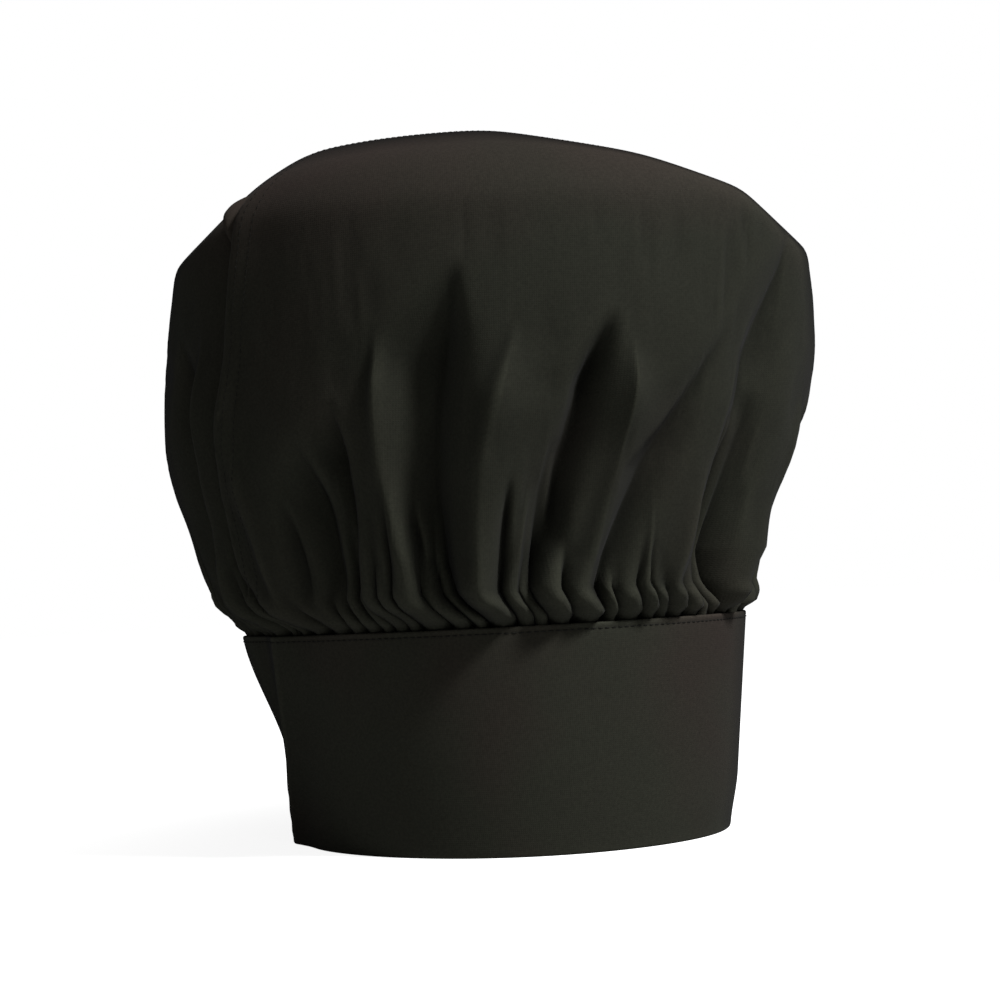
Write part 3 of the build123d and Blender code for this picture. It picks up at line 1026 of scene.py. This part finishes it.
for row_name, offset in (("seam_stitches_near", -2.2), ("seam_stitches_far", -7.0)):
    line = beside_seam(offset)
    keep = seam_base[:, 2] > SEAM_STITCHES_FROM
    line, ahead = line[keep], beside_seam(offset - 1.5)[keep]
    level = unit(np.cross(np.gradient(line, axis=0), line - ahead))
    level = level * np.sign((level * (line - [0, 0, CROWN_WAIST])).sum(axis=1, keepdims=True))
    row = stitches(row_name, line + level * 0.02, level, "hat", pitch=2.8, radius=0.13)
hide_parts("crown_seam_stitches")

# ------------------------------------------------------------------ band
band_angle = np.linspace(0, 360, BAND_COLUMNS, endpoint=False)


def ply(name, section, material, node):
    """A closed ring of the band, from the outline of its section as insets and heights."""
    loops = np.stack([band_point(band_angle, z, inset) for inset, z in section])
    around = np.repeat((np.radians(band_angle) * 98)[None], len(section), 0)
    steps = [math.hypot(*(np.array(q) - p)) for p, q in zip(section, section[1:])]
    run = np.concatenate([[0], np.cumsum(steps)])
    uvs = np.stack([around, np.repeat(run[:, None], BAND_COLUMNS, 1)], -1)
    faces = grid_faces(len(section), BAND_COLUMNS, True, True)
    obj = make_object(name, loops.reshape(-1, 3), faces, material, "hat", uvs.reshape(-1, 2) * MM)
    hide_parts(node)
    return obj


def band_outer_section():
    """The outer panel's section: up the face, over both folds, and back down inside."""
    outer = [(2.0, HEM), (2.0, 4.0), (2.0, 1.2), (1.45, 0.3), (0.75, 0.0), (0.2, 0.35), (0.0, 1.1)]
    outer += [(0.0, z) for z in np.linspace(3, 86.4, 28)]
    outer += [(0.04, 87.0), (0.10, 87.5), (0.04, 88.0), (-0.02, 88.8), (0.12, 89.6), (0.6, 90.0)]
    outer += [(1.1, 89.7), (1.3, 89.0), (1.3, 86.0), (1.3, 82.0)]
    inner = [(0.75, 82.0), (0.75, 86.0), (0.75, 88.6), (0.62, 89.0), (0.55, 88.4)]
    inner += [(0.6, z) for z in np.linspace(86.4, 3, 28)]
    inner += [(0.7, 1.0), (1.35, 0.8), (1.45, 1.4), (1.45, 4.0), (1.45, HEM)]
    return outer + inner


INTERLINING_CLOTH = poplin(
    "interlining_felt", (0.50, 0.49, 0.45), (0.60, 0.59, 0.55), weave_depth=0.25, thread=0.0006
)
FACING_CLOTH = poplin("facing_poplin", (0.0145, 0.0145, 0.0125), (0.0185, 0.0185, 0.0155))
SWEAT_CLOTH = poplin(
    "sweatband_twill", (0.022, 0.0215, 0.020), (0.029, 0.0285, 0.027), weave_depth=0.4, thread=0.0008
)
LABEL_CLOTH = poplin(
    "label_satin", (0.70, 0.69, 0.65), (0.80, 0.79, 0.75), weave_depth=0.1, thread=0.0003
)
LOOP_CLOTH = poplin(
    "loop_nap", (0.012, 0.012, 0.013), (0.020, 0.020, 0.021), weave_depth=0.8, thread=0.0009
)
HOOK_CLOTH = poplin(
    "hook_nylon", (0.010, 0.010, 0.011), (0.014, 0.014, 0.015), weave_depth=0.3, thread=0.0008
)

ply("band_cloth_outer", band_outer_section(), BAND_CLOTH, "band_outer_panel")
lining_heights = list(np.linspace(3.0, 76.0, 25))
lining_section = [(0.85, 1.6)] + [(0.74, z) for z in lining_heights] + [(0.85, 77.0), (1.25, 77.0)]
lining_section += [(1.36, z) for z in reversed(lining_heights)] + [(1.25, 1.6)]
ply("band_stiffener", lining_section, INTERLINING_CLOTH, "band_interlining")
facing_heights = list(np.linspace(9.0, 80.0, 25))
facing_section = [(2.05, 8.1)] + [(2.1, z) for z in facing_heights] + [(2.3, 81.4), (2.6, 81.4)]
facing_section += [(2.7, z) for z in reversed(facing_heights)] + [(2.4, 8.1)]
ply("band_facing_cloth", facing_section, FACING_CLOTH, "band_facing")
sweat_heights = list(np.linspace(11.5, 36.5, 10))
sweat_section = [(2.9, 10.2)] + [(2.8, z) for z in sweat_heights] + [(3.0, 37.8), (3.5, 38.0)]
sweat_section += [(4.0 - 0.25 * (abs(z - 24) > 9), z) for z in reversed(sweat_heights)] + [(3.5, 10.0)]
ply("sweatband_cloth", sweat_section, SWEAT_CLOTH, "sweatband")

ring = np.linspace(0, 360, 721)
edge_line = band_point(ring, 87.5, -0.08)
stitches(
    "band_edge_stitches", edge_line, direction(ring), "hat", "band_top_stitches", pitch=2.9, radius=0.17
)
for row_name, row_height in (("sweatband_stitches_low", 12.6), ("sweatband_stitches_high", 35.4)):
    line = band_point(ring, row_height, 3.95)
    row = stitches(row_name, line, -direction(ring), "hat", pitch=3.2, radius=0.2)
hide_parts("sweatband_stitches")


# ------------------------------------------------------------------ closure behind
def rear_point(right, z, outset):
    """A point behind the band, by its distance to the right as seen from behind."""
    half_width, half_length = band_radii(-np.asarray(outset, float), z)
    y = half_length * np.sqrt(1 - (right / half_width) ** 2)
    return np.stack(np.broadcast_arrays(-right, y, z), -1)


def edge_steps(low, high, step, near=(0, 0.25, 0.7, 1.4, 2.4)):
    """Positions from low to high, close together at both ends."""
    middle = np.linspace(low + near[-1], high - near[-1], max(3, int((high - low) / step)))
    return np.unique(np.concatenate([low + np.array(near), middle, high - np.array(near)]))


def rounded_grid(ends, heights, corner, step):
    """Grid positions inside a rectangle with rounded corners, and their distance to its edge."""
    xs, zs = edge_steps(*ends, step), edge_steps(*heights, step)
    x, z = np.meshgrid(xs, zs)
    into = np.clip(corner - np.minimum(z - heights[0], heights[1] - z), 0, corner)
    pulled = corner - np.sqrt(corner**2 - into**2)
    centre, half = (ends[0] + ends[1]) / 2, (ends[1] - ends[0]) / 2
    x = centre + (x - centre) * (half - pulled) / half
    side = np.minimum(x - ends[0] - pulled, ends[1] - pulled - x)
    edge = np.minimum(np.maximum(side, 0), np.minimum(z - heights[0], heights[1] - z))
    return x, z, np.maximum(edge, 0)


def pad(
    name, ends, heights, inner, thickness, corner, material, body, node, step=2.2, bumps=0.0
):
    """A closed patch behind the band with rolled edges."""
    x, z, edge = rounded_grid(ends, heights, corner, step)
    roll = min(thickness / 2, 0.9)
    swell = np.sqrt(np.clip(1 - (1 - np.clip(edge / roll, 0, 1)) ** 2, 0, 1))
    middle = inner + thickness / 2
    texture = bumps * RNG.normal(size=x.shape) * (edge > 0.6)
    outer_face = rear_point(x, z, middle + swell * thickness / 2 + texture)
    inner_face = rear_point(x, z, middle - swell * thickness / 2)
    rows_, columns = x.shape
    faces = grid_faces(rows_, columns)
    faces += [tuple(reversed(f)) for f in grid_faces(rows_, columns, start=rows_ * columns)]
    points = np.vstack([outer_face.reshape(-1, 3), inner_face.reshape(-1, 3)])
    uvs = np.vstack([np.stack([x, z], -1).reshape(-1, 2)] * 2) * MM
    obj = make_object(name, points, faces, material, None, uvs)
    sheet = bmesh.new()
    sheet.from_mesh(obj.data)
    bmesh.ops.remove_doubles(sheet, verts=sheet.verts, dist=0.02 * MM)
    bmesh.ops.recalc_face_normals(sheet, faces=sheet.faces)
    sheet.to_mesh(obj.data)
    sheet.free()
    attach(obj, body)
    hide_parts(node)


def box_line(ends, heights, outset, step=1.0):
    """Points and outward directions round a rectangle behind the band."""
    corners = [(ends[0], heights[0]), (ends[1], heights[0]), (ends[1], heights[1]), (ends[0], heights[1])]
    spots = []
    for (x0, z0), (x1, z1) in zip(corners, corners[1:] + corners[:1]):
        count = int(math.hypot(x1 - x0, z1 - z0) / step)
        t = np.linspace(0, 1, count, endpoint=False)[:, None]
        spots.append(np.array([x0, z0]) * (1 - t) + np.array([x1, z1]) * t)
    spots = np.vstack(spots + [spots[0][:1]])
    points = rear_point(spots[:, 0], spots[:, 1], outset)
    outward = points * [1, 1, 0]
    return points, outward


for which, centre in zip(("lower", "upper"), TAPE_CENTRES):
    tape_heights = (centre - TAPE_HALF, centre + TAPE_HALF)
    pad(
        f"loop_tape_{which}_nap", LOOP_ENDS, tape_heights, 0.1, 1.0, 1.0, LOOP_CLOTH, "hat",
        f"loop_tape_{which}", step=0.8, bumps=0.09,
    )
    pad(
        f"hook_tape_{which}_base", HOOK_ENDS, tape_heights, 1.75, 0.45, 1.0, HOOK_CLOTH, "closure_tab",
        f"hook_tape_{which}",
    )


def hook_field(name, centre):
    """Rows of bent nylon hooks on the inner side of a hook tape."""
    xs = np.arange(HOOK_ENDS[0] + 1.6, HOOK_ENDS[1] - 1.0, HOOK_PITCH)
    zs = np.arange(centre - TAPE_HALF + 1.4, centre + TAPE_HALF - 0.8, HOOK_PITCH)
    x, z = (v.ravel() for v in np.meshgrid(xs, zs))
    steps = [  # how far the hook leans over, its outset and its radius
        (0.0, 1.80, 0.16),
        (0.02, 1.55, 0.12),
        (0.12, 1.32, 0.11),
        (0.34, 1.24, 0.10),
        (0.46, 1.36, 0.05),
    ]
    turn = np.linspace(0, 2 * np.pi, 5, endpoint=False)
    rings = []
    for reach, outset, size in steps:
        level = np.full_like(x, outset)
        sides = [(x + reach + size * np.cos(t), z + size * np.sin(t)) for t in turn]
        rings.append(np.stack([rear_point(*side, level) for side in sides], 1))
    points = np.stack(rings, 1)
    per = len(steps) * len(turn)
    faces = []
    for k in range(len(x)):
        faces += grid_faces(len(steps), len(turn), True, start=k * per)
        faces.append([k * per + per - 1 - i for i in range(len(turn))])
    obj = make_object(name, points.reshape(-1, 3), faces, HOOK_CLOTH, "closure_tab")


hook_field("hooks_lower", TAPE_CENTRES[0])
hook_field("hooks_upper", TAPE_CENTRES[1])



def inside(span, low, high=None):
    """A span made shorter at its two ends."""
    return span[0] + low, span[1] - (low if high is None else high)


pad(
    "tab_facing_cloth", inside(TAB_ENDS, 1.2), inside(TAB_HEIGHTS, 1.2), 2.3, 0.6, 7.0,
    FACING_CLOTH, "closure_tab", "tab_facing",
)
pad(
    "tab_stiffener", inside(TAB_ENDS, 2), inside(TAB_HEIGHTS, 2), 3.0, 0.7, 6.0,
    INTERLINING_CLOTH, "closure_tab", "tab_interlining",
)
pad(
    "tab_cloth_outer", TAB_ENDS, TAB_HEIGHTS, 2.85, 1.65, 8.0, BAND_CLOTH, "closure_tab",
    "tab_outer_panel",
)
pad(
    "tab_anchor_cloth", ANCHOR_ENDS, TAB_HEIGHTS, 0.1, 1.9, 1.5, BAND_CLOTH, "hat",
    "tab_anchor_strip",
)
points, outward = box_line(inside(TAB_ENDS, 2, 3), inside(TAB_HEIGHTS, 3), TAB_THREAD_OUTSET)
stitches("tab_edge_thread", points, outward, "closure_tab", "tab_edge_stitches", pitch=2.9)
for which, centre in zip(("lower", "upper"), TAPE_CENTRES):
    box_heights = inside((centre - TAPE_HALF, centre + TAPE_HALF), 2)
    points, outward = box_line(inside(HOOK_ENDS, 2), box_heights, TAB_THREAD_OUTSET)
    row = stitches(f"hook_box_thread_{which}", points, outward, "closure_tab", pitch=2.9)
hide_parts("hook_tape_stitches")
anchor_z = np.linspace(5, 85, 81)
for which, right_at in ANCHOR_ROWS:
    points = rear_point(np.full(len(anchor_z), right_at), anchor_z, ANCHOR_THREAD_OUTSET)
    row = stitches(f"anchor_thread_{which}", points, points * [1, 1, 0], "hat", pitch=2.9)
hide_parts("tab_anchor_stitches")


def give_thickness(obj, thickness):
    """Turns a sheet into a thin solid. Its faces are sorted, so that every run gives the same mesh."""
    sheet = bmesh.new()
    sheet.from_mesh(obj.data)
    bmesh.ops.solidify(sheet, geom=sheet.faces[:], thickness=thickness * MM)
    sheet.verts.index_update()
    in_order = sorted(sheet.faces, key=lambda face: sorted(v.index for v in face.verts))
    for place, face in enumerate(in_order):
        face.index = place
    sheet.faces.sort()
    sheet.to_mesh(obj.data)
    sheet.free()


def root_fold():
    """The cloth that runs from the sewn anchor over onto the tab."""
    across = np.array([-45.5, -44.6, -43.0, -41.6, -40.6, -39.6, -38.4, -37.0, -35.6, -34.8])
    lift = np.array([1.9, 2.25, 2.4, 2.9, 3.6, 4.3, 4.7, 4.78, 4.72, 4.35])
    zs = edge_steps(TAB_HEIGHTS[0] + 0.4, TAB_HEIGHTS[1] - 0.4, 2.2)
    x, z = np.meshgrid(across, zs)
    points = rear_point(x, z, np.repeat(lift[None], len(zs), 0))
    obj = make_object(
        "tab_root_fold", points.reshape(-1, 3), grid_faces(*x.shape), BAND_CLOTH, None,
        np.stack([x, z], -1).reshape(-1, 2) * MM,
    )
    give_thickness(obj, 0.35)
    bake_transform(obj)


root_fold()

# ------------------------------------------------------------------ care label inside
label_hinge = np.array(joints["care_label_flip"]["pos_m"]) / MM
label_across = np.array(joints["care_label_flip"]["axis"])
label_ends = band_point(LABEL_ANGLE, np.array([LABEL_TOP, LABEL_TOP - LABEL_LENGTH]), LABEL_INSET)
label_down = label_ends[1] - label_ends[0]
label_down = label_down - (label_down @ label_across) * label_across
label_down = label_down / np.linalg.norm(label_down)
label_inward = np.cross(label_across, label_down)


def label_sheet():
    """A soft woven label: sewn at its upper end, with a slight curl towards its free end."""
    across = edge_steps(-LABEL_WIDTH / 2, LABEL_WIDTH / 2, 1.6, near=(0, 0.4, 1.2))
    down = edge_steps(-1.5, LABEL_LENGTH, 1.6, near=(0, 0.4, 1.2))
    a, d = np.meshgrid(across, down)
    bend = (a / (LABEL_WIDTH / 2)) ** 2
    curl = 1.6 * smooth((d - 8) / 32) + 0.35 * np.sin(a * 0.42 + d * 0.05) * smooth(d / 20)
    sewn = 0.35 * (1 - smooth(d / 5)) * bend - 2.0 * (1 - smooth((d + 1.5) / 7))
    lift = curl + 0.5 * bend * smooth(d / 12) + sewn
    along = a[..., None] * label_across + d[..., None] * label_down
    points = label_hinge + along + lift[..., None] * label_inward
    obj = make_object(
        "care_label_cloth", points.reshape(-1, 3), grid_faces(*a.shape), LABEL_CLOTH, None,
        np.stack([a, d], -1).reshape(-1, 2) * MM,
    )
    give_thickness(obj, 0.22)
    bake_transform(obj)
    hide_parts("care_label")
    spots = np.linspace(-12, 12, LABEL_THREADS)[:, None]
    rise = 0.35 * (spots / (LABEL_WIDTH / 2)) ** 2 - 1.55
    line = label_hinge + spots * label_across - 0.2 * label_down + rise * label_inward
    inward = np.repeat(label_inward[None], LABEL_THREADS, 0)
    stitches("care_label_thread", line, inward, "hat", pitch=2.4, radius=0.16)


label_sheet()

# ------------------------------------------------------------------ stage
floor_mesh = bpy.data.meshes.new("floor")
floor_mesh.from_pydata([(-6, -6, 0), (6, -6, 0), (6, 6, 0), (-6, 6, 0)], [], [(0, 1, 2, 3)])
floor = bpy.data.objects.new("floor", floor_mesh)
bpy.context.scene.collection.objects.link(floor)
paper, main, add, links = shader("pale_floor")
main.inputs["Roughness"].default_value = 0.9
main.inputs["Specular IOR Level"].default_value = 0.1
# Painted light: for the camera the floor glows, a little less near the hat and fully further out, which
# lightens the hat's shadow on it and fades it into the white backdrop. To the light that reaches the hat it
# is darker, FLOOR_BOUNCE.
spot = add("ShaderNodeNewGeometry")
reach = add("ShaderNodeVectorMath", {0: spot.outputs["Position"]}, operation="LENGTH")
far = in_range(add, reach.outputs["Value"], 0.10, 0.32, 0.85, 1.0, interpolation_type="SMOOTHSTEP")
eye = add("ShaderNodeLightPath").outputs["Is Camera Ray"]
links.new(reckon(add, "MULTIPLY", far, eye), main.inputs["Emission Strength"])
links.new(in_range(add, eye, 0.0, 1.0, FLOOR_BOUNCE, 0.93), main.inputs["Base Color"])
main.inputs["Emission Color"].default_value = (1, 1, 1, 1)
floor_mesh.materials.append(paper)

world = bpy.data.worlds.new("studio")
bpy.context.scene.world = world
world.use_nodes = True
backdrop = world.node_tree.nodes["Background"]
backdrop.inputs[0].default_value = (1, 1, 1, 1)
seen = world.node_tree.nodes.new("ShaderNodeLightPath")
strength = world.node_tree.nodes.new("ShaderNodeMapRange")
world.node_tree.links.new(seen.outputs["Is Camera Ray"], strength.inputs["Value"])
strength.inputs["To Min"].default_value = AMBIENT
strength.inputs["To Max"].default_value = 1.0
world.node_tree.links.new(strength.outputs[0], backdrop.inputs[1])


def lamp(name, azimuth, elevation, distance, size, power):
    """A soft box aimed at the hat. Azimuth is measured like the camera's."""
    data = bpy.data.lights.new(name, "AREA")
    data.shape = "DISK"
    data.size = size
    data.energy = power
    obj = bpy.data.objects.new(name, data)
    bpy.context.scene.collection.objects.link(obj)
    a, e = math.radians(azimuth), math.radians(elevation)
    away = Vector((math.sin(a) * math.cos(e), -math.cos(a) * math.cos(e), math.sin(e)))
    obj.location = Vector((0, 0, LAMP_AIM_HEIGHT)) + away * distance
    obj.rotation_euler = (-away).to_track_quat("-Z", "Y").to_euler()


lamp("key", VIEW_AZIMUTH + 48, 45, 1.6, 0.3, 29.5)
lamp("fill", VIEW_AZIMUTH - 6, 38, 2.2, 1.2, 3.0)

# ------------------------------------------------------------------ camera
camera_data = bpy.data.cameras.new("camera")
camera_data.lens = CAMERA_LENS
camera = bpy.data.objects.new("camera", camera_data)
bpy.context.scene.collection.objects.link(camera)
camera.location = Vector(-BACK) * CAMERA_DISTANCE + Vector((0, 0, CAMERA_HEIGHT))
aim_point = Vector((0, 0, CAMERA_AIM_HEIGHT)) + Vector(RIGHT) * CAMERA_AIM_RIGHT
look = (aim_point - camera.location).to_track_quat("-Z", "Y").to_matrix()
camera.matrix_world = (
    Matrix.Translation(camera.location)
    @ look.to_4x4()
    @ Matrix.Rotation(math.radians(-CAMERA_ROLL), 4, "Z")
)
bpy.context.scene.camera = camera
bpy.context.scene.view_settings.view_transform = "Standard"
